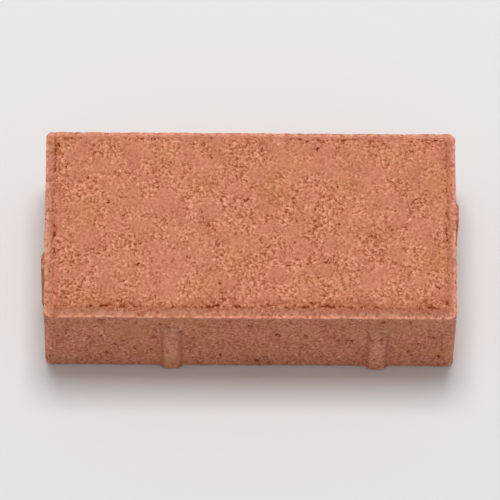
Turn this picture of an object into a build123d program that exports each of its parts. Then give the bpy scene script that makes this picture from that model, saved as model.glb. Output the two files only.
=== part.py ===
# A rectangular concrete paving stone with a bevelled wearing face and spacer nibs.
#
# The stone is pressed upright in a steel mould. The press head comes down on the
# top, and forms the flat wearing face, the bevel round it and a narrow level rim
# outside that. The mould's walls form the plain sides. Grooves in those walls,
# open at the bottom so that the stone can be stripped out, leave the nibs that
# keep the joint open when stones are laid side by side.
#
# Frame: millimetres, with the origin at the centre of the bed face, +X along the
# stone, +Y across it and +Z up to the wearing face.

from build123d import *

import os
from math import atan2, degrees

# The stone's body, without its nibs
length = 200.0
width = 100.0
height = 60.0
corner_radius = 4.0

# The level rim that the press head's blunt edge leaves along the sides
rim_width = 1.5
lip_radius = 0.6

# The bevel that rises from the rim to the wearing face
bevel_run = 3.5
bevel_drop = 3.5
bevel_foot_corner_radius = 2.5
bevel_foot_radius = 0.4
face_corner_radius = 1.6
arris_radius = 1.6

# A nib, which stands as proud as the joint is wide. Its flanks and its top slope
# from its foot, on the side of the stone, to its land, which bears on the next
# stone. It stops short of the wearing face, so that the joint can be filled.
nib_proud = 2.0
nib_foot_width = 12.0
nib_land_width = 7.0
nib_below_face = 15.0
nib_edge_radius = 0.8

# Where the nibs are. A long side has one near each end and a short side has one
# beside its middle. They are staggered, so that in a running bond, a stack bond
# or a herringbone each nib bears on a plain side and never on another nib.
near_end_to_nib = 38.0
far_end_to_nib = 62.0
short_side_stagger = 14.0


def side_plane(facing_x, facing_y):
    """The plane of a side, level with the bed, with its x along the side and its y up."""
    outward = Vector(facing_x, facing_y, 0)
    return Plane(
        origin=(facing_x * length / 2, facing_y * width / 2, 0),
        x_dir=Vector(0, 0, 1).cross(outward),
        z_dir=outward,
    )


rim_height = height - bevel_drop
face_inset = rim_width + bevel_run
nib_height = height - nib_below_face
nib_taper = degrees(atan2((nib_foot_width - nib_land_width) / 2, nib_proud))

long_side_places = (far_end_to_nib - length / 2, length / 2 - near_end_to_nib)
short_side_places = (short_side_stagger,)
nibbed_sides = (
    (side_plane(0, -1), long_side_places),
    (side_plane(0, 1), long_side_places),
    (side_plane(1, 0), short_side_places),
    (side_plane(-1, 0), short_side_places),
)

with BuildPart() as paving_stone:
    # The sides, from the bed up to the rim
    with BuildSketch(Plane.XY):
        RectangleRounded(length, width, corner_radius)
    extrude(amount=rim_height)

    # The bevel, from its foot on the rim up to the edge of the wearing face. Its
    # corners run from the round of the foot to the tighter one of the face.
    with BuildSketch(Plane.XY.offset(rim_height)):
        RectangleRounded(
            length - 2 * rim_width,
            width - 2 * rim_width,
            bevel_foot_corner_radius,
        )
    with BuildSketch(Plane.XY.offset(height)):
        RectangleRounded(
            length - 2 * face_inset,
            width - 2 * face_inset,
            face_corner_radius,
        )
    loft(ruled=True)

    # The arris round the wearing face, the lip outside the rim and the foot of the
    # bevel come out of the press a little rounded
    wearing_face = faces().sort_by(Axis.Z)[-1]
    fillet(wearing_face.edges(), radius=arris_radius)
    rim = faces().filter_by(Axis.Z).sort_by(Axis.Z)[-2]
    fillet(rim.outer_wire().edges(), radius=lip_radius)
    rim = faces().filter_by(Axis.Z).sort_by(Axis.Z)[-2]
    fillet(rim.inner_wires()[0].edges(), radius=bevel_foot_radius)

    # The nibs. Each starts as a pad that reaches as far below the bed as above it,
    # tapered on all sides, with its land's edges eased.
    for side, places in nibbed_sides:
        with BuildSketch(side):
            with Locations(*[(place, 0) for place in places]):
                Rectangle(nib_foot_width, 2 * nib_height)
        extrude(amount=nib_proud, taper=nib_taper)
        outward = Axis(side.origin, side.z_dir)
        lands = faces().filter_by(side).sort_by(outward)[-len(places) :]
        fillet(lands.edges(), radius=nib_edge_radius)

    # The bed cuts the pads off flush, so that the nibs run down to it
    split(bisect_by=Plane.XY, keep=Keep.TOP)

paving_stone.part.label = "paving_stone"

os.makedirs("parts", exist_ok=True)
export_step(paving_stone.part, "parts/paving_stone.step")

stone = paving_stone.part
print("faces", len(stone.faces()), "valid", stone.is_valid)
print("volume mm3", round(stone.volume), "size", stone.bounding_box().size)
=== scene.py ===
# %% [markdown]
# # A concrete paving stone
# The real stone is pressed from damp, red-pigmented concrete in a steel mould
# and stripped at once, while it is still green. Everything that the eye reads
# on it comes from that: the sandy wearing face with its open pores, the bevel
# and the narrow rim that the press head leaves, the sides with their upright
# drag marks and voids, and the rough bed. This lesson makes one closed mesh in
# the mould's shape, gives it the relief of pressed concrete, and then its colour.
#
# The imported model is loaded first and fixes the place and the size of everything
# that follows. Blender works in metres here, and a size on the stone is written
# as a number of MM, which is one millimetre.

from collections import namedtuple
from math import acos, pi, radians, tan

import bpy
import numpy as np
from mathutils import Color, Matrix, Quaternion, Vector


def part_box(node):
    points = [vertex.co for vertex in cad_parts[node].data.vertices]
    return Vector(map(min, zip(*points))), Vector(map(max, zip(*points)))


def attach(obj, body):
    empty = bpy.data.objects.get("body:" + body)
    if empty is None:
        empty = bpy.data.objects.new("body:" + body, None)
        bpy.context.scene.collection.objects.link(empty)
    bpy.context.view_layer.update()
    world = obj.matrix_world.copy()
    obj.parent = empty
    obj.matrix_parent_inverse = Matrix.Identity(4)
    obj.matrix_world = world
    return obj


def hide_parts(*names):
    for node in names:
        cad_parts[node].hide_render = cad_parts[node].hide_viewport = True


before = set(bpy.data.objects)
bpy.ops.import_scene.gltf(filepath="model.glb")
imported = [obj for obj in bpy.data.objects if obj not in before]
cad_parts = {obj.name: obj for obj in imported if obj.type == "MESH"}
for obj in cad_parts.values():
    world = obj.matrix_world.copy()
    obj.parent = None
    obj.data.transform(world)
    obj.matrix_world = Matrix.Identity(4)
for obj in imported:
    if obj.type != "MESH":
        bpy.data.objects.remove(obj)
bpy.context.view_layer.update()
low_corner, high_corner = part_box("paving_stone")
print("packed stone", [round(high - low, 4) for low, high in zip(low_corner, high_corner)])

MM = 0.001

# %% [markdown]
# ## The camera
# The photograph looks down from about 65 degrees above the horizon through a long
# lens, so that far edges are hardly shorter than near ones. The camera's place is
# fitted to the photograph, and its lens is five thirds as long as the one there,
# so that the stone fills the frame. A camera can be aimed by hand or by a
# constraint, but a constraint would be in the way of the other views. So its turn
# is worked out once: look from its place to the middle of the stone, then roll it
# as the photograph is rolled.

# %% Aim the camera
CAMERA_PLACE = Vector((-0.026, -1.545, 3.343))
CAMERA_AIM = Vector((0.0, 0.0017, 0.024))
CAMERA_ROLL = radians(1.21)
FRAME_PIXELS = 500
FOCAL_PIXELS = 7500
SENSOR = 36.0

camera = bpy.data.objects.new("camera", bpy.data.cameras.new("camera"))
bpy.context.scene.collection.objects.link(camera)
camera.data.sensor_width = SENSOR
camera.data.lens = SENSOR * FOCAL_PIXELS / FRAME_PIXELS
camera.location = CAMERA_PLACE
camera.rotation_mode = "QUATERNION"
line_of_sight = CAMERA_AIM - CAMERA_PLACE
roll = Quaternion((0, 0, 1), CAMERA_ROLL)
camera.rotation_quaternion = line_of_sight.to_track_quat("-Z", "Y") @ roll
bpy.context.scene.camera = camera
print("camera", round(line_of_sight.length, 2), "m away with a lens of", round(camera.data.lens), "mm")

# %% [markdown]
# ## Wiring nodes
# The world, the materials and Geometry Nodes share most of their maths nodes.
# They could be wired by hand in the node editor, but a script can be read, and
# run again. These helpers work in any kind of tree, so that one function can
# describe a pattern, such as the pores, for the relief and for the colour, and
# the two agree to the grain.

# %% Helpers for any kind of node tree
def feed(tree, socket, value):
    """Gives a socket a number, a vector, or another node's output."""
    if isinstance(value, bpy.types.NodeSocket):
        tree.links.new(value, socket)
    else:
        socket.default_value = value


def node(tree, kind, inputs=(), **settings):
    """A new node with its settings, and its inputs fed by name or by number."""
    made = tree.nodes.new(kind)
    for name, value in settings.items():
        setattr(made, name, value)
    for name, value in dict(inputs).items():
        feed(tree, made.inputs[name], value)
    return made


def maths(tree, operation, *values):
    return node(tree, "ShaderNodeMath", enumerate(values), operation=operation).outputs[0]


def ramp(tree, value, start, end, low=0.0, high=1.0, soft=True):
    """Carries a value from start..end over to low..high and holds it there."""
    mapped = node(tree, "ShaderNodeMapRange", {0: value, 1: start, 2: end, 3: low, 4: high})
    mapped.interpolation_type = "SMOOTHSTEP" if soft else "LINEAR"
    return mapped.outputs[0]


# %% [markdown]
# ## The light
# Soft light shows concrete best: hard light would make every grain cast a shadow,
# and flat light would hide the bevel. In the photograph the stone's near bevel is
# the darkest and its other three are much alike, so the main light, a wide lamp,
# stands high and a little behind the stone. The world fills the rest. The two
# together light a level surface to about 1, so a colour comes out as it is
# written. For rays that only look or are mirrored, the world has the floor's own
# brightness, so that nothing shows where the floor ends.

# %% Light the studio
FILL_LIGHT = 0.4
KEY_LIGHT = 0.6
KEY_DIRECTION = Vector((0.0, 0.24, 0.96)).normalized()
KEY_DISTANCE = 2.5
KEY_SIDE = 0.9
FLOOR_PALE = 0.82

world = bpy.data.worlds.new("studio")
bpy.context.scene.world = world
world.use_nodes = True
sky = world.node_tree
rays = node(sky, "ShaderNodeLightPath").outputs
looking = rays["Is Camera Ray"]
for kind in ("Is Glossy Ray", "Is Transmission Ray"):
    looking = maths(sky, "MAXIMUM", looking, rays[kind])
strength = ramp(sky, looking, start=0, end=1, low=FILL_LIGHT, high=FLOOR_PALE, soft=False)
feed(sky, sky.nodes["Background"].inputs["Color"], (1, 1, 1, 1))
feed(sky, sky.nodes["Background"].inputs["Strength"], strength)

# A lamp of P watts at a distance d lights a level white surface to P cos / (pi d)^2
softbox = bpy.data.objects.new("softbox", bpy.data.lights.new("softbox", "AREA"))
bpy.context.scene.collection.objects.link(softbox)
softbox.data.size = KEY_SIDE
softbox.data.energy = KEY_LIGHT * (pi * KEY_DISTANCE) ** 2 / KEY_DIRECTION.z
softbox.location = KEY_DIRECTION * KEY_DISTANCE
softbox.rotation_mode = "QUATERNION"
softbox.rotation_quaternion = (-KEY_DIRECTION).to_track_quat("-Z", "Y")
bpy.context.scene.view_settings.view_transform = "Standard"
print("key light", round(softbox.data.energy, 1), "W,", KEY_DISTANCE, "m away")

# %% [markdown]
# ## The floor
# The soft shadow on a floor shows how the stone stands. A plane could be added
# and scaled up, but a mesh of four corners is as short to write and needs no
# scale. It is wide enough for its edge to be lost in the distance. Its paint is
# matt and pale, but short of white, so that the edge of the shadow shows.

# %% Lay the floor
FLOOR_REACH = 60.0
FLOOR_ROUGHNESS = 0.9
FLOOR_SHINE = 0.2

floor_mesh = bpy.data.meshes.new("floor")
floor_corners = [(-1, -1, 0), (1, -1, 0), (1, 1, 0), (-1, 1, 0)]
floor_mesh.from_pydata([Vector(corner) * FLOOR_REACH for corner in floor_corners], [], [(0, 1, 2, 3)])
floor = bpy.data.objects.new("floor", floor_mesh)
bpy.context.scene.collection.objects.link(floor)

floor_paint = bpy.data.materials.new("pale_floor")
floor_paint.use_nodes = True
floor_shader = floor_paint.node_tree.nodes["Principled BSDF"]
floor_shader.inputs["Base Color"].default_value = (FLOOR_PALE, FLOOR_PALE, FLOOR_PALE, 1)
floor_shader.inputs["Roughness"].default_value = FLOOR_ROUGHNESS
floor_shader.inputs["Specular IOR Level"].default_value = FLOOR_SHINE
floor_mesh.materials.append(floor_paint)
print("floor", 2 * FLOOR_REACH, "m square")

# %% [markdown]
# ## The sizes of the stone
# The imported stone's box takes in the nibs, so their reach comes off it to leave
# the body. The rim, the bevel and the nibs have the real stone's sizes. These
# could be typed again in every shape that needs them, but a size that is written
# once can be changed once, and what follows is worked out from it.

# %% Take the sizes
NIB_PROUD = 2.0 * MM
NIB_BELOW_FACE = 15.0 * MM
RIM_WIDTH = 1.5 * MM
BEVEL_RUN = 3.5 * MM
BEVEL_DROP = 3.5 * MM

half_length = high_corner.x - NIB_PROUD
half_width = high_corner.y - NIB_PROUD
half_sizes = np.array([half_length, half_width])
stone_height = high_corner.z
rim_height = stone_height - BEVEL_DROP
nib_top = stone_height - NIB_BELOW_FACE
face_inset = RIM_WIDTH + BEVEL_RUN
print("body", (2 * half_sizes).round(4), "m and", round(stone_height, 4), "m high")

# %% [markdown]
# ## The section through an edge
# From the wearing face to the bed, every upright cut through the stone shows the
# same line: the arris, the bevel, the level rim that the press head's blunt edge
# leaves, the lip, the side and the bed's edge. A curve could be swept round the
# stone with this section, but a sweep can't raise the nibs or take pores. Here
# the line is a list of stops, each written as how far it lies in from the side
# and how high it is. Its corners are eased by parabolas, which are as good as
# arcs at this size and shorter to write.

# %% Draw the section from the face down to the bed
NIB_SLOPE = 2.5 * MM
BED_INSET = 2.4 * MM
FACE_STEP = 0.78 * MM
SIDE_STEP = 1.15 * MM

# The radius and the number of steps of the arris, the bevel's foot, the lip and the bed's edge
EASINGS = ((1.6 * MM, 3), (0.4 * MM, 2), (0.6 * MM, 3), (1.0 * MM, 2))


def even_steps(marks, step):
    """Stops from the first mark to the last that meet every mark, about a step apart."""
    stops = [marks[0]]
    for start, end in zip(marks, marks[1:]):
        count = max(1, round(np.linalg.norm(end - start) / step))
        stops += [start + (end - start) * n / count for n in range(1, count + 1)]
    return stops


def eased(before, corner, after, radius, pieces):
    """Stops along the parabola that rounds off a corner of the section."""
    back = (before - corner) / np.linalg.norm(before - corner)
    onwards = (after - corner) / np.linalg.norm(after - corner)
    reach = radius / tan(acos(back @ onwards) / 2)
    shares = np.linspace(0, 1, pieces + 1)[:, None]
    start = corner + back * reach
    end = corner + onwards * reach
    return list((1 - shares) ** 2 * start + 2 * shares * (1 - shares) * corner + shares**2 * end)


# The face's stop and the bed's only give the way that the section comes in and goes out
face_stop = np.array([2 * face_inset, stone_height])
arris_corner = np.array([face_inset, stone_height])
bevel_foot = np.array([RIM_WIDTH, rim_height])
lip_corner = np.array([0.0, rim_height])
bed_corner = np.array([0.0, 0.0])
bed_stop = np.array([BED_INSET, 0.0])
corners = [face_stop, arris_corner, bevel_foot, lip_corner, bed_corner, bed_stop]
arris, foot, lip, bed_edge = [eased(*corners[n : n + 3], *easing) for n, easing in enumerate(EASINGS)]
side_marks = [lip[-1], np.array([0.0, nib_top]), np.array([0.0, nib_top - NIB_SLOPE]), bed_edge[0]]

section = arris + even_steps([arris[-1], foot[0]], FACE_STEP)[1:-1]
section += foot + even_steps([foot[-1], lip[0]], FACE_STEP)[1:-1]
section += lip + even_steps(side_marks, SIDE_STEP)[1:-1] + bed_edge
section = np.array(section)
print("section of", len(section), "stops")

# %% [markdown]
# ## The outline
# Seen from above, the stone is a rectangle with round corners, which get tighter
# from the sides in to the bevel's foot, and again up to the wearing face. A Bevel
# modifier could round a box, but it would put its points where it likes. Here
# they are spaced so that some fall on every corner's start and on every edge of a
# nib: a crease that runs along a row of points is crisp, and one that crosses the
# rows is a saw. A ring starts as a rectangle, and its corners are drawn in to the
# mould's round ones.

# %% Space the points round the stone
CORNER_INSETS = (0.0, RIM_WIDTH, face_inset)
CORNER_RADII = (4.0 * MM, 2.5 * MM, 1.6 * MM)
NIB_FOOT = 12.0 * MM
LONG_SIDE_NIBS = (38.0 * MM, 62.0 * MM)
SHORT_SIDE_NIB = 14.0 * MM


def marks_along(half, nibs):
    """Where points have to fall along a side, the same both ways from its middle."""
    distances = {half, half - CORNER_RADII[0]}
    for place in nibs:
        distances |= {place + way * NIB_FOOT / 2 for way in (-1, 1)}
        distances |= {place + way * (NIB_FOOT / 2 - NIB_SLOPE) for way in (-1, 1)}
    return sorted({-d for d in distances} | {0.0} | distances)


along = np.array(even_steps(marks_along(half_length, LONG_SIDE_NIBS), FACE_STEP))
across = np.array(even_steps(marks_along(half_width, (SHORT_SIDE_NIB,)), FACE_STEP))
columns, rows = len(along) - 1, len(across) - 1
flat_grid = np.stack(np.meshgrid(along, across, indexing="ij"), -1)


def once_round(grid):
    """The outermost entries of a grid, anticlockwise from its first corner."""
    return np.concatenate([grid[:-1, 0], grid[-1, :-1], grid[:0:-1, -1], grid[0, :0:-1]])


def ring(inset, height):
    """Points round the stone, some way in from its sides and at some height."""
    radius = np.interp(inset, CORNER_INSETS, CORNER_RADII)
    square = once_round(flat_grid) * (1 - inset / half_sizes)
    pivot_limit = half_sizes - inset - radius
    pivots = np.clip(square, -pivot_limit, pivot_limit)
    spokes = square - pivots
    points = pivots + spokes * radius / np.linalg.norm(spokes, axis=1)[:, None]
    return np.column_stack([points, np.full(len(points), height)])


print("face", columns, "by", rows, "squares, so a ring has", 2 * (columns + rows), "points")

# %% [markdown]
# ## The nibs
# Spacer nibs keep the joint open when the stone is laid. Separate blocks could be
# joined on, but here they are pressed out of the side itself, as the mould does:
# points on the side move outwards by how deep the mould's groove is there. A
# groove has a flat floor and sloping walls, so its depth is the least of three
# slopes and the floor, with the corner between them eased.

# %% Raise the nibs on the sides
NIB_EASE = 0.3
SAME_PLACE = MM / 1000


def eased_least(first, second, ease):
    """The lesser of two values, eased where they are nearly alike."""
    share = np.clip((1 + (second - first) / ease) / 2, 0, 1)
    return first * share + second * (1 - share) - ease * share * (1 - share)


def nib_depth(places, heights, nibs):
    """How far the side stands out, for places along it and heights above the bed."""
    flanks = [(NIB_FOOT / 2 - np.abs(places - nib)) / NIB_SLOPE for nib in nibs]
    slopes = np.minimum(np.max(flanks, axis=0), (nib_top - heights) / NIB_SLOPE)
    return NIB_PROUD * np.clip(eased_least(slopes, 1, NIB_EASE), 0, 1)


def nib_offsets(points, inset):
    """How far a ring's points stand out on the nibs. A half turn of the stone changes nothing."""
    x, y, z = points.T
    on_long = np.isclose(np.abs(y), half_width - inset, atol=SAME_PLACE)
    on_short = np.isclose(np.abs(x), half_length - inset, atol=SAME_PLACE)
    near_nib, far_nib = LONG_SIDE_NIBS
    out_long = nib_depth(-np.sign(y) * x, z, (-near_nib, far_nib)) * on_long
    out_short = nib_depth(np.sign(x) * y, z, (SHORT_SIDE_NIB,)) * on_short
    return np.column_stack([np.sign(x) * out_short, np.sign(y) * out_long, 0 * z])


plain_rings = [ring(*stop) for stop in section]
offsets = [nib_offsets(points, inset) for points, (inset, height) in zip(plain_rings, section)]
rings = [points + offset for points, offset in zip(plain_rings, offsets)]
print("nibs stand out", round(max(points[:, 1].max() for points in rings) - half_width, 5), "m")

# %% [markdown]
# ## From the face down the sides
# Points and faces can be typed, extruded by hand or worked out. Here a grid fills
# the wearing face and rows of squares join the rings below it, so that points lie
# evenly wherever the relief is to move them.

# %% Fill the face and join the rings
def filled_grid(outline, columns, rows, inset, height):
    """A grid of points whose outermost ones are an outline."""
    step = len(along) // columns
    grid = np.zeros((columns + 1, rows + 1, 3))
    grid[..., :2] = flat_grid[::step, ::step] * (1 - inset / half_sizes)
    grid[..., 2] = height
    places = np.arange(grid[..., 0].size).reshape(columns + 1, rows + 1)
    grid.reshape(-1, 3)[once_round(places)] = outline
    return grid.reshape(-1, 3), places


def squares(places):
    """The squares of a grid of points, facing the viewer who sees it anticlockwise."""
    corners = [places[:-1, :-1], places[1:, :-1], places[1:, 1:], places[:-1, 1:]]
    return np.stack(corners, -1).reshape(-1, 4)


def strips(upper, lower):
    """Squares between two rings of as many points, the upper one given first."""
    return np.stack([upper, lower, np.roll(lower, -1), np.roll(upper, -1)], -1)


face_points, face_places = filled_grid(rings[0], columns, rows, *section[0])
points, faces = [face_points], [squares(face_places)]
first_free = len(face_points)
upper = once_round(face_places)
for ring_points in rings[1:]:
    lower = np.arange(len(ring_points)) + first_free
    faces.append(strips(upper, lower))
    points.append(ring_points)
    first_free += len(ring_points)
    upper = lower
print("face of", len(face_points), "points, sides of", first_free - len(face_points))

# %% [markdown]
# ## Closing the bed
# A stone that is lifted shows its bed, so the mesh is closed there too. It could
# be one big face, but a bed is rough and needs points of its own. It is seldom
# seen, so a grid with every second point is enough, and one row of triangles
# joins its wide spacing to the fine one of the sides.

# %% Close the bed and make the mesh
bed_outline = ring(BED_INSET, 0.0)[::2]
bed_points, bed_places = filled_grid(bed_outline, columns // 2, rows // 2, BED_INSET, 0.0)
points.append(bed_points)
bed_places = bed_places + first_free
faces.append(squares(bed_places)[:, ::-1])
wide = once_round(bed_places)
wide_next = np.roll(wide, -1)
first, middle, last = upper[::2], upper[1::2], np.roll(upper, -2)[::2]
joins = [(first, wide, middle), (middle, wide, wide_next), (middle, wide_next, last)]
triangles = np.concatenate([np.stack(join, -1) for join in joins])

every_point = np.concatenate(points)
every_face = [face.tolist() for face in np.concatenate(faces)] + triangles.tolist()
form = bpy.data.meshes.new("paving_stone_form")
form.from_pydata(every_point, [], every_face)
form.shade_smooth()
print("form", len(every_point), "points,", 2 * len(every_face) - len(triangles), "triangles")

# %% [markdown]
# ## Where each point is
# The finish has to know where it is on the stone. Vertex paint would do, but a
# rule is exact: every point knows how far it lies down the section from the edge
# of the wearing face. On the face that distance is below zero and counts inwards
# from the edge, and on the bed it runs on inwards from the last stop.

# %% Measure down the section
steps = np.linalg.norm(np.diff(section, axis=0), axis=1)
down_section = np.concatenate([[0], np.cumsum(steps)])


def down_to(stop):
    """How far down the section the stop nearest to some place is."""
    return down_section[np.argmin(np.linalg.norm(section - stop, axis=1))]


def inset_of(places):
    """How far places on a level face lie in from the stone's sides."""
    return np.min(half_sizes - np.abs(places[:, :2]), axis=1)


down = np.concatenate([
    section[0, 0] - inset_of(face_points),
    np.repeat(down_section[1:], len(rings[0])),
    down_section[-1] + inset_of(bed_points) - BED_INSET,
])
to_arris = down - down_to(arris_corner)
to_foot = down - down_to(bevel_foot)
to_lip = down - down_to(lip_corner)
to_bed_edge = down - down_to(bed_corner)
to_mid_bevel = (to_arris + to_foot) / 2
corner_gap = np.hypot(*(np.abs(every_point[:, :2]) - half_sizes).T)
print("from the face's edge to the bed", round(down_section[-1] / MM, 1), "mm down the section")

# %% [markdown]
# ## Marking the edges
# From those distances come shares, each from 0 to 1, that say how much a point
# belongs to a part of the stone: the side or the face, the rim, the bevel, which
# gets painted shade, the arris and the torn band just inside it, and the edges and
# corners that wear. A hard limit would look painted on, so they fade out, most of
# them along a bell curve. The dust of the rim lies thickest a little way up the
# bevel from its foot. The press head left the near long side last, and dragged
# the paste there, in a strip inside the torn band.

# %% Mark the sides and the edges
SIDE_FADE = 2.0 * MM
RIM_REACH = 1.9 * MM
DUST_UP = 0.5 * MM
BEVEL_REACH = 2.2 * MM
ARRIS_REACH = 1.1 * MM
TORN_INSIDE = 1.2 * MM
TORN_REACH = 2.4 * MM
DRAGGED_INSIDE = 2.7 * MM
DRAGGED_REACH = 2.4 * MM
DRAGGED_SIDE = (0.7, 0.85)
WEAR_REACH = 1.2 * MM
CORNER_WEAR = 0.6
CORNER_WEAR_REACH = 2.4 * MM


def near(distance, reach):
    """A share that is 1 where the distance is none and fades out over about the reach."""
    return np.exp(-((distance / reach) ** 2))


# The dragged strip fades in between two shares of the way from the middle to the near side
on_dragged_side = np.interp(-every_point[:, 1] / half_width, DRAGGED_SIDE, (0, 1))
side_share = np.clip(to_lip / SIDE_FADE, 0, 1)
edge_wear = np.maximum(near(to_lip, WEAR_REACH), near(to_bed_edge, WEAR_REACH))
shares = {
    "side_share": side_share,
    "face_share": 1 - side_share,
    "rim_share": near(to_foot + DUST_UP, RIM_REACH),
    # The bevel's share carries painted shade, darker and redder than the face
    "bevel_share": near(to_mid_bevel, BEVEL_REACH),
    "arris_share": near(to_arris, ARRIS_REACH),
    "torn_share": near(to_arris + TORN_INSIDE, TORN_REACH),
    "dragged_share": near(to_arris + DRAGGED_INSIDE, DRAGGED_REACH) * on_dragged_side,
    "wear": np.maximum(edge_wear, CORNER_WEAR * near(corner_gap, CORNER_WEAR_REACH)),
}
print(len(shares), "shares, of which the side's is", round(side_share.mean(), 3), "on average")

# %% [markdown]
# ## Marking the nibs
# A nib is rubbed on its land, darkened by painted shade down its flanks, and
# paler on its sloping top, partly dust and partly painted light from above. They
# could be told apart by where they are, but how far out a point stands says it
# more simply: the flanks and the top are part of the way out, and are marked most
# of all half way. All shares are kept on the mesh as attributes, which Geometry
# Nodes and materials both can read.

# %% Mark the nibs and keep the marks
on_nibs = np.linalg.norm(np.concatenate(offsets[1:]), axis=1) / NIB_PROUD
nib_share = np.concatenate([np.zeros(len(face_points)), on_nibs, np.zeros(len(bed_points))])

# A share times what is left of it is a quarter half way out, so four times that runs up to 1
part_way_out = 4 * nib_share * (1 - nib_share)
on_top = every_point[:, 2] > nib_top - NIB_SLOPE + SAME_PLACE
shares["nib_share"] = nib_share
# The flanks' share carries painted shade; the top's share carries dust and painted light from above
shares["flank_share"] = part_way_out * ~on_top
shares["nib_top_share"] = part_way_out * on_top

for name, values in shares.items():
    layer = form.attributes.new(name, "FLOAT", "POINT")
    layer.data.foreach_set("value", np.asarray(values, np.float32))
    print(name, "mean", round(float(np.mean(values)), 3))

# %% [markdown]
# ## Drawing patterns
# No two places on concrete are alike, so its patterns are drawn from noise and
# not laid on as a picture, which would repeat, and smear over the edges. Noise
# takes a place and gives a number. What shapes a pattern is how the place is
# moved first: it can be turned, drawn out along Z or wobbled. These helpers do
# that in any tree, with sizes in metres.

# %% Helpers for patterns
PATTERN_TURN = (0.5, 0.7, 0.3)
PATTERN_MEAN = 0.5


def vectors(tree, operation, *values):
    return node(tree, "ShaderNodeVectorMath", enumerate(values), operation=operation).outputs[0]


def scaled(tree, vector, size):
    return node(tree, "ShaderNodeVectorMath", {0: vector, "Scale": size}, operation="SCALE").outputs[0]


def off_grid(tree, place):
    """A place turned askew, because a face in line with a pattern's own grid would show the grid."""
    turned = {"Vector": place, "Rotation": PATTERN_TURN}
    return node(tree, "ShaderNodeVectorRotate", turned, rotation_type="EULER_XYZ").outputs[0]


def noise_of(tree, place, size, detail=2.0, roughness=0.5):
    """The outputs of smooth noise: one number, and three more as a colour."""
    inputs = {"Vector": off_grid(tree, place), "Scale": 1 / size, "Detail": detail, "Roughness": roughness}
    return node(tree, "ShaderNodeTexNoise", inputs).outputs


def noise(tree, place, size, **settings):
    """Smooth noise, about 0.5 in the middle, with features of a size in metres."""
    return noise_of(tree, place, size, **settings)[0]


def cells(tree, place, size):
    """Voronoi cells of a size in metres: how far each place is from its cell's point,
    as a share of the size, and three random numbers for each cell."""
    made = node(tree, "ShaderNodeTexVoronoi", {"Vector": off_grid(tree, place), "Scale": 1 / size})
    chances = node(tree, "ShaderNodeSeparateXYZ", {0: made.outputs["Color"]})
    return made.outputs["Distance"], list(chances.outputs)


def drawn_up(tree, place, times):
    """A place where patterns come out longer along Z, by some number of times."""
    return vectors(tree, "MULTIPLY", place, (1, 1, 1 / times))


def wobbled(tree, place, size, reach):
    """A place moved about by noise, so that what is drawn there loses its neat outline."""
    shift = vectors(tree, "SUBTRACT", noise_of(tree, place, size)["Color"], (PATTERN_MEAN,) * 3)
    return vectors(tree, "ADD", place, scaled(tree, shift, reach))


def between(tree, share, first, second):
    """A number that goes from the first to the second as a share goes from 0 to 1."""
    # A Mix node has sockets for every kind of value under the same names, so they go by number
    return node(tree, "ShaderNodeMix", {0: share, 2: first, 3: second}, data_type="FLOAT").outputs[0]


def blended(tree, *patterns):
    """Patterns laid over each other: how far each is from its mean, by how much it counts."""
    total = PATTERN_MEAN
    for pattern, weight in patterns:
        swing = maths(tree, "SUBTRACT", pattern, PATTERN_MEAN)
        total = maths(tree, "MULTIPLY_ADD", swing, weight, total)
    return total


print("patterns are turned by", PATTERN_TURN, "radians")

# %% [markdown]
# ## Sand and drag marks
# Close up, the stone is sand held by pigmented cement paste. The sand is crooked
# ridges and gaps about as wide as a grain, which show where the mix was coarse
# and sink where paste filled it. Grains could be scattered one by one and sunk
# in, but noise of their size looks the same from as far off as a whole stone is
# seen, and costs far less. On the sides the mould has dragged the grains upwards,
# so there they are drawn out, with streaks between them.

# %% Draw sand and drag marks
GRAIN = 1.4 * MM
FLECK = 0.7 * MM
GRAIN_WEIGHT = 1.2
FLECK_WEIGHT = 1.0
MIX_PATCH = 9 * MM
SIDE_COARSENESS = 0.75
GRAINS_DRAWN = 1.4
STREAK = 2.2 * MM
STREAKS_DRAWN = 7


def grains(tree, place):
    """How high the grains of sand stand, about 0.5 in the middle."""
    return noise(tree, wobbled(tree, place, size=GRAIN, reach=GRAIN), size=GRAIN, detail=0.0)


def sand(tree, place):
    """The grains, with the finer ones among them that are too small for the relief."""
    flecks = noise(tree, place, size=FLECK, detail=1.0)
    return blended(tree, (grains(tree, place), GRAIN_WEIGHT), (flecks, FLECK_WEIGHT))


def up_the_mould(tree, pattern, place, side):
    """A pattern as it is on the face, and drawn out upwards on the sides."""
    on_side = pattern(tree, drawn_up(tree, place, GRAINS_DRAWN))
    return between(tree, side, pattern(tree, place), on_side)


def coarseness(tree, place, side):
    """How much the sand shows, from smooth paste to coarse mix."""
    mix = noise(tree, place, size=MIX_PATCH, detail=3.0)
    on_face = ramp(tree, mix, start=0.36, end=0.62, low=0.4, high=1.3)
    return between(tree, side, on_face, SIDE_COARSENESS)


def drag_marks(tree, place):
    """Upright streaks, from 0 to 1, where grains were dragged along the mould."""
    streaks = noise(tree, drawn_up(tree, place, STREAKS_DRAWN), size=STREAK, roughness=0.6)
    return ramp(tree, streaks, start=0.3, end=0.7)


print("sand of", round(GRAIN / MM, 2), "and", round(FLECK / MM, 2), "mm")

# %% [markdown]
# ## Pores
# A pore is a crooked hollow that the paste did not fill, and pores differ in
# width and depth. They could be cut one by one, but thousands of cuts are slow
# and leave ragged faces. Voronoi cells are a better start, because each cell's
# random numbers can say whether it holds a pore at all, how wide it is and how
# deep. The place is wobbled first, so that no pore comes out round.

# %% Draw pores
CROOKED_SIZE = 0.35
CROOKED_REACH = 1.1
NARROWEST = 0.35
PORE_FLOOR = 0.4
SHALLOWEST = 0.5


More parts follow.
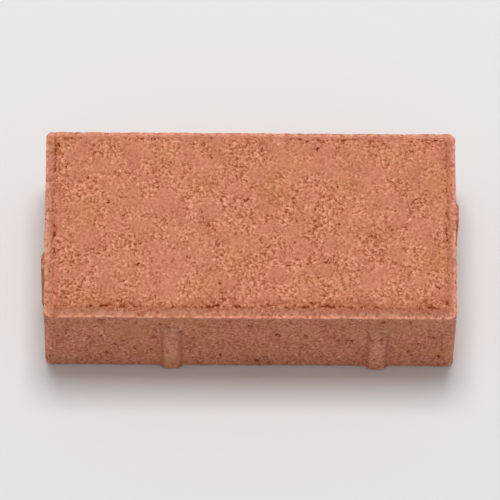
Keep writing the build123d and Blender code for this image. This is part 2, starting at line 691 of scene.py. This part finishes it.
def pores(tree, place, spacing, kept, widest):
    """How deep a pore is, from 0 to 1. Its widest radius is a share of the spacing."""
    crooked = wobbled(tree, place, size=CROOKED_SIZE * spacing, reach=CROOKED_REACH * spacing)
    distance, (chance, width, depth) = cells(tree, crooked, spacing)
    mostly_narrow = maths(tree, "MULTIPLY", width, width)
    radius = ramp(tree, mostly_narrow, start=0, end=1, low=NARROWEST * widest, high=widest, soft=False)
    hollow = ramp(tree, maths(tree, "DIVIDE", distance, radius), start=1.0, end=PORE_FLOOR)
    depth = ramp(tree, depth, start=0, end=1, low=SHALLOWEST, soft=False)
    here = maths(tree, "LESS_THAN", chance, kept)
    return maths(tree, "MULTIPLY", maths(tree, "MULTIPLY", hollow, here), depth)


print("a pore is at least", NARROWEST, "as wide and", SHALLOWEST, "as deep as the largest of its kind")

# %% [markdown]
# ## Kinds of hollow
# The wearing face has specks and pores. Along its arris, in stretches where the
# press head came away badly, there are pits, and dashes torn off the edge. The
# sides have voids that the mix did not fill, and the worn edges have chips. Each
# kind is a dent in the relief and a dark spot of painted shade, with a little dust,
# in the colour, in the same place. They could be written out twice, but one list
# keeps the two in step: it says for each kind what draws it, which share of the
# form it is kept to, how deep it is and how dark its painted shade is.

# %% List the hollows
TORN_STRETCH = 24 * MM
TEAR = 3.6 * MM
VOIDS_DRAWN = 1.3

Hollow = namedtuple("Hollow", "name pattern where depth darkness")


def specks(tree, place):
    return pores(tree, place, spacing=2.6 * MM, kept=0.25, widest=0.4)


def face_pores(tree, place):
    return pores(tree, place, spacing=5.5 * MM, kept=0.4, widest=0.3)


def torn_places(tree, place):
    """Where the press head came away badly, in stretches some centimetres long."""
    return ramp(tree, noise(tree, place, size=TORN_STRETCH), start=0.4, end=0.56, low=0.2)


def arris_pits(tree, place):
    pits = pores(tree, place, spacing=3.2 * MM, kept=0.75, widest=0.45)
    return maths(tree, "MULTIPLY", pits, torn_places(tree, place))


def arris_tears(tree, place):
    """The dashes, some millimetres long, that were torn off the arris there."""
    tears = noise(tree, place, size=TEAR, detail=3.0, roughness=0.7)
    return maths(tree, "MULTIPLY", ramp(tree, tears, start=0.5, end=0.6), torn_places(tree, place))


def side_voids(tree, place):
    return pores(tree, drawn_up(tree, place, VOIDS_DRAWN), spacing=4.5 * MM, kept=0.4, widest=0.45)


def chips(tree, place):
    return pores(tree, place, spacing=6 * MM, kept=0.5, widest=0.35)


HOLLOWS = (
    Hollow("Speck Depth", specks, "face_share", 0.3 * MM, 0.5),
    Hollow("Pore Depth", face_pores, "face_share", 0.8 * MM, 0.9),
    Hollow("Pit Depth", arris_pits, "torn_share", 0.9 * MM, 1.0),
    Hollow("Tear Depth", arris_tears, "arris_share", 0.5 * MM, 0.8),
    Hollow("Void Depth", side_voids, "side_share", 1.5 * MM, 0.75),
    Hollow("Chip Depth", chips, "wear", 0.8 * MM, 0.6),
)
print(len(HOLLOWS), "kinds of hollow, the deepest", max(hollow.depth for hollow in HOLLOWS) / MM, "mm")

# %% [markdown]
# ## How deep the relief is
# Apart from its hollows, the stone has gaps between its grains of sand, a slow
# unevenness, drag marks up its sides and ragged worn edges. Each kind is a
# pattern times the share of the form that it is kept to. They could be applied
# one after another, but each would then start from what the last one left. So
# they are added up to one depth, by inputs of the tree that say how deep each
# kind goes.

# %% Add up the relief
RELIEF_DEPTHS = {
    "Sand Height": 0.5 * MM,
    "Unevenness": 0.4 * MM,
    "Drag Depth": 0.35 * MM,
    "Ragged Depth": 0.6 * MM,
}
RELIEF_DEPTHS.update({hollow.name: hollow.depth for hollow in HOLLOWS})
SWELL = 22 * MM
CRUMB = 3 * MM


def share_in_relief(tree, name):
    """One of the form's shares, as Geometry Nodes read it."""
    return node(tree, "GeometryNodeInputNamedAttribute", {"Name": name}, data_type="FLOAT").outputs[0]


def relief_depth(tree, place, given):
    """How far inwards from the mould a point lies. The depths of the kinds of relief are given."""
    side = share_in_relief(tree, "side_share")
    gaps = maths(tree, "SUBTRACT", 1.0, up_the_mould(tree, grains, place, side))
    crumbs = noise(tree, place, size=CRUMB, roughness=0.7)
    ragged = ramp(tree, crumbs, start=0.4, end=0.8)
    reliefs = [
        ("Sand Height", gaps, coarseness(tree, place, side)),
        ("Unevenness", noise(tree, place, size=SWELL), 1.0),
        ("Drag Depth", drag_marks(tree, place), side),
        ("Ragged Depth", ragged, share_in_relief(tree, "wear")),
    ]
    for hollow in HOLLOWS:
        reliefs.append((hollow.name, hollow.pattern(tree, place), share_in_relief(tree, hollow.where)))
    inwards = 0.0
    for name, pattern, where in reliefs:
        here = maths(tree, "MULTIPLY", pattern, where)
        inwards = maths(tree, "MULTIPLY_ADD", here, given[name], inwards)
    return maths(tree, "MAXIMUM", inwards, 0.0)


print(len(RELIEF_DEPTHS), "kinds of relief")

# %% [markdown]
# ## The relief, by Geometry Nodes
# Sculpting ninety thousand points by hand would take days, and a Displace
# modifier knows one texture at a time. A Geometry Nodes tree can follow a rule
# everywhere at once. This one moves each point inwards only, so that the stone
# never outgrows its mould, and it first keeps each point's place in the mould,
# so that the colours can be drawn where the relief was. Points near a tight edge
# would cross if each moved along its own normal, so the normals are blurred
# first. Another seed shifts all patterns, and so gives another stone.

# %% Build the relief tree
SHIFT_OF_SEED = (0.137, 0.071, 0.033)
NORMAL_BLURS = 10


def blurred(tree, field, iterations):
    """A vector on each point, averaged with its neighbours' again and again."""
    blur = node(tree, "GeometryNodeBlurAttribute", {"Iterations": iterations}, data_type="FLOAT_VECTOR")
    feed(tree, next(socket for socket in blur.inputs if socket.enabled), field)
    return next(socket for socket in blur.outputs if socket.enabled)


def relief_tree():
    """The tree that turns the mould's smooth form into pressed concrete."""
    tree = bpy.data.node_groups.new("pressed_concrete", "GeometryNodeTree")
    tree.interface.new_socket(name="Geometry", in_out="INPUT", socket_type="NodeSocketGeometry")
    tree.interface.new_socket(name="Geometry", in_out="OUTPUT", socket_type="NodeSocketGeometry")
    for name in RELIEF_DEPTHS:
        tree.interface.new_socket(name=name, in_out="INPUT", socket_type="NodeSocketFloat")
    tree.interface.new_socket(name="Seed", in_out="INPUT", socket_type="NodeSocketInt")
    tree.interface.new_socket(name="Concrete", in_out="INPUT", socket_type="NodeSocketMaterial")
    given = node(tree, "NodeGroupInput").outputs

    in_mould = node(tree, "GeometryNodeInputPosition").outputs[0]
    place = vectors(tree, "ADD", in_mould, scaled(tree, SHIFT_OF_SEED, given["Seed"]))
    keep = {"Geometry": given["Geometry"], "Name": "mould_place"}
    kept = node(tree, "GeometryNodeStoreNamedAttribute", keep, data_type="FLOAT_VECTOR", domain="POINT")
    feed(tree, kept.inputs["Value"], place)

    normal = node(tree, "GeometryNodeInputNormal").outputs[0]
    outwards = blurred(tree, normal, NORMAL_BLURS)
    inwards = relief_depth(tree, place, given)
    offset = scaled(tree, outwards, maths(tree, "MULTIPLY", inwards, -1.0))
    moved = node(tree, "GeometryNodeSetPosition", {"Geometry": kept.outputs[0], "Offset": offset})
    real = node(tree, "GeometryNodeRealizeInstances", {"Geometry": moved.outputs[0]})
    named = {"Geometry": real.outputs[0], "Material": given["Concrete"]}
    finished = node(tree, "GeometryNodeSetMaterial", named)
    node(tree, "NodeGroupOutput", {"Geometry": finished.outputs[0]})
    return tree


pressed_concrete = relief_tree()
print("relief tree of", len(pressed_concrete.nodes), "nodes")

# %% [markdown]
# ## Paints
# The pigment is mixed all through, so the stone is one terracotta red, and its
# paints are close to each other: deep and pale paste, pale sand, dust that also
# stands for painted light on the nibs' tops, the painted shade of the bevel, the
# painted shade of a pore, and tints of ochre and pink. They could be picked on the
# colour wheel, but written down they can be set side by side.
# They are written as a screen shows them and turned into Blender's linear colours.

# %% Name the paints
SCREEN_FULL = 255


def paint(*shown):
    """A colour as a screen shows it, 0 to 255, as the linear numbers that Blender mixes."""
    return (*Color([part / SCREEN_FULL for part in shown]).from_srgb_to_scene_linear(), 1)


DEEP_PASTE = paint(150, 66, 30)
PALE_PASTE = paint(241, 164, 130)
PALE_SAND = paint(252, 194, 166)
# Dust, which on the nibs' sloping tops also stands for painted light from above
DUST_AND_LIGHT = paint(236, 184, 168)
# Painted shade of the bevels, darker and redder than the face
BEVEL_SHADE_PAINT = paint(198, 104, 70)
# Painted shade deep in the hollows, with a little dust
PORE_SHADE_AND_DUST = paint(104, 34, 14)
OCHRE = paint(196, 134, 84)
PINK = paint(210, 122, 108)
print("paste from", [round(part, 3) for part in DEEP_PASTE], "to", [round(part, 3) for part in PALE_PASTE])

# %% [markdown]
# ## The concrete's tone
# What makes it concrete and not paint is how its red varies. The tone swings from
# deep paste to pale with the sand, with broad clouds and with the drag marks. It
# is paler and dusty where the stone is rubbed or dust settles: on the rim, the
# edges and the nibs. The nibs' sloping tops are paler too, partly dust and partly
# painted light from above. It is deeper in the strip that the press head dragged.
# One noise could stand for all of this, but parts that are drawn apart can each be
# turned up or down.

# %% Draw the tone
CLOUD = 11 * MM
CLOUD_TONE = 0.34
DRAG_TONE = 0.12
DRAGGED_TONE = 0.18
RUBBED_PATCH = 2.5 * MM
# The nibs' sloping tops are made paler as dust and as painted light from above
DUST_AND_LIGHT_TONES = {"rim_share": 0.26, "wear": 0.12, "nib_share": 0.15, "nib_top_share": 0.22}


def share_in_paint(tree, name, most=1.0):
    """One of the form's shares, as a material reads it, times the most that it counts."""
    here = node(tree, "ShaderNodeAttribute", attribute_name=name).outputs["Fac"]
    return maths(tree, "MULTIPLY", here, most)


def dust_and_light(tree, place):
    """How much paler the dust makes the places that are rubbed, with painted light from above on the nibs'
    sloping tops.
    """
    rubbed = ramp(tree, noise(tree, place, size=RUBBED_PATCH), start=0.38, end=0.6, low=0.1)
    paler = 0.0
    for name, most in DUST_AND_LIGHT_TONES.items():
        paler = maths(tree, "MULTIPLY_ADD", rubbed, share_in_paint(tree, name, most), paler)
    return paler


def concrete_tone(tree, place, paler):
    """From 0 or less in deep paste to 1 or more in pale."""
    side = share_in_paint(tree, "side_share")
    tone = blended(
        tree,
        (up_the_mould(tree, sand, place, side), coarseness(tree, place, side)),
        (noise(tree, place, size=CLOUD), CLOUD_TONE),
        (drag_marks(tree, place), share_in_paint(tree, "side_share", DRAG_TONE)),
    )
    dragged = share_in_paint(tree, "dragged_share", DRAGGED_TONE)
    deeper = maths(tree, "MULTIPLY", torn_places(tree, place), dragged)
    return maths(tree, "SUBTRACT", maths(tree, "ADD", tone, paler), deeper)


print("dust on", len(DUST_AND_LIGHT_TONES), "kinds of place")

# %% [markdown]
# ## The concrete's colour
# Over the tone lie pale grains, soft patches of ochre or pink where the pigment
# is thinner or thicker, painted shade on the bevel, the dust, which on the nibs'
# sloping tops is also painted light, and painted shade on the nibs' flanks. The
# hollows are darkened with painted shade, with a little dust: a hollow gets redder
# before it gets dark, because the light in it bounces from paste to paste. Each
# layer could be a shader of its own, but one shader with one mixed colour does the
# same and is easier to carry over to other programs. Only the finest grit is left
# to bump, because the sand and the pores are real relief.

# %% Mix the red concrete
PALE_GRAINS = 0.8
TINT_PATCH = 18 * MM
BEVEL_SHADE = 0.25
DUST_AND_LIGHT_COVER = 0.9
FLANK_SHADE = 0.4
GRIT_SIZE = 0.8 * MM
GRIT_HEIGHT = 0.25 * MM
DEEP_ROUGHNESS = 0.95
PALE_ROUGHNESS = 0.8
SHINE = 0.25


def mixed(tree, factor, first, second):
    """Two colours mixed by a factor, with the Mix node's sockets for colours."""
    return node(tree, "ShaderNodeMix", {0: factor, 6: first, 7: second}, data_type="RGBA").outputs[2]


def pale_grains(tree, place):
    """Single pale grains, beside the specks and not in them."""
    beside_specks = vectors(tree, "ADD", place, (GRAIN,) * 3)
    return pores(tree, beside_specks, spacing=2.6 * MM, kept=0.35, widest=0.42)


def darkness(tree, place):
    """How dark the painted shade, with a little dust, in the hollows is, from 0 to 1."""
    dark = 0.0
    for hollow in HOLLOWS:
        most = share_in_paint(tree, hollow.where, hollow.darkness)
        here = maths(tree, "MULTIPLY", hollow.pattern(tree, place), most)
        dark = maths(tree, "MAXIMUM", dark, here)
    return dark


def red_concrete():
    """The stone's one material, whose patterns start from each point's place in the mould."""
    material = bpy.data.materials.new("pressed_red_concrete")
    material.use_nodes = True
    tree = material.node_tree
    shader = tree.nodes["Principled BSDF"]
    place = node(tree, "ShaderNodeAttribute", attribute_name="mould_place").outputs["Vector"]

    paler = dust_and_light(tree, place)
    tone = concrete_tone(tree, place, paler)
    dark = darkness(tree, place)
    patches = noise(tree, place, size=TINT_PATCH, roughness=0.4)
    layers = (
        (maths(tree, "MULTIPLY", pale_grains(tree, place), PALE_GRAINS), PALE_SAND),
        (ramp(tree, patches, start=0.5, end=0.8, high=0.55), OCHRE),
        (ramp(tree, patches, start=0.5, end=0.2, high=0.22), PINK),
        # Painted shade on the bevel
        (share_in_paint(tree, "bevel_share", BEVEL_SHADE), BEVEL_SHADE_PAINT),
        # Dust, and painted light from above on the nibs' sloping tops
        (maths(tree, "MULTIPLY", paler, DUST_AND_LIGHT_COVER), DUST_AND_LIGHT),
        # Painted shade down the nibs' flanks
        (share_in_paint(tree, "flank_share", FLANK_SHADE), DEEP_PASTE),
        # Painted shade in the hollows, with a little dust: redder first, then dark
        (ramp(tree, dark, start=0, end=0.6, soft=False), DEEP_PASTE),
        (ramp(tree, dark, start=0.4, end=1), PORE_SHADE_AND_DUST),
    )
    colour = mixed(tree, tone, DEEP_PASTE, PALE_PASTE)
    for factor, tint in layers:
        colour = mixed(tree, factor, colour, tint)
    feed(tree, shader.inputs["Base Color"], colour)

    grit = noise(tree, place, size=GRIT_SIZE, detail=3.0, roughness=0.6)
    bump = node(tree, "ShaderNodeBump", {"Strength": 1.0, "Distance": GRIT_HEIGHT, "Height": grit})
    feed(tree, shader.inputs["Normal"], bump.outputs[0])
    feed(tree, shader.inputs["Roughness"], between(tree, tone, DEEP_ROUGHNESS, PALE_ROUGHNESS))
    shader.inputs["Specular IOR Level"].default_value = SHINE
    return material


concrete = red_concrete()
print("red concrete of", len(concrete.node_tree.nodes), "nodes")

# %% [markdown]
# ## Press the stone
# The tree is set on the form by its sockets' identifiers, because the names are
# only labels. A live modifier could stay on the stone, but what is kept then
# depends on a tree. So the result is read back as a plain mesh and the modifier
# goes with the mould: nothing is left but points, faces, their attributes and one
# material.

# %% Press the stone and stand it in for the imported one
RELIEF_SEED = 8

mould = bpy.data.objects.new("mould", form)
bpy.context.scene.collection.objects.link(mould)
press = mould.modifiers.new("press", "NODES")
press.node_group = pressed_concrete
settings = {**RELIEF_DEPTHS, "Seed": RELIEF_SEED, "Concrete": concrete}
for item in pressed_concrete.interface.items_tree:
    if item.name in settings:
        press[item.identifier] = settings[item.name]

pressed = bpy.data.meshes.new_from_object(mould.evaluated_get(bpy.context.evaluated_depsgraph_get()))
bpy.data.objects.remove(mould)
stone = bpy.data.objects.new("concrete_paving_stone", pressed)
bpy.context.scene.collection.objects.link(stone)
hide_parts("paving_stone")
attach(stone, "root")
print("stone", len(pressed.vertices), "points, materials", [m.name for m in pressed.materials])
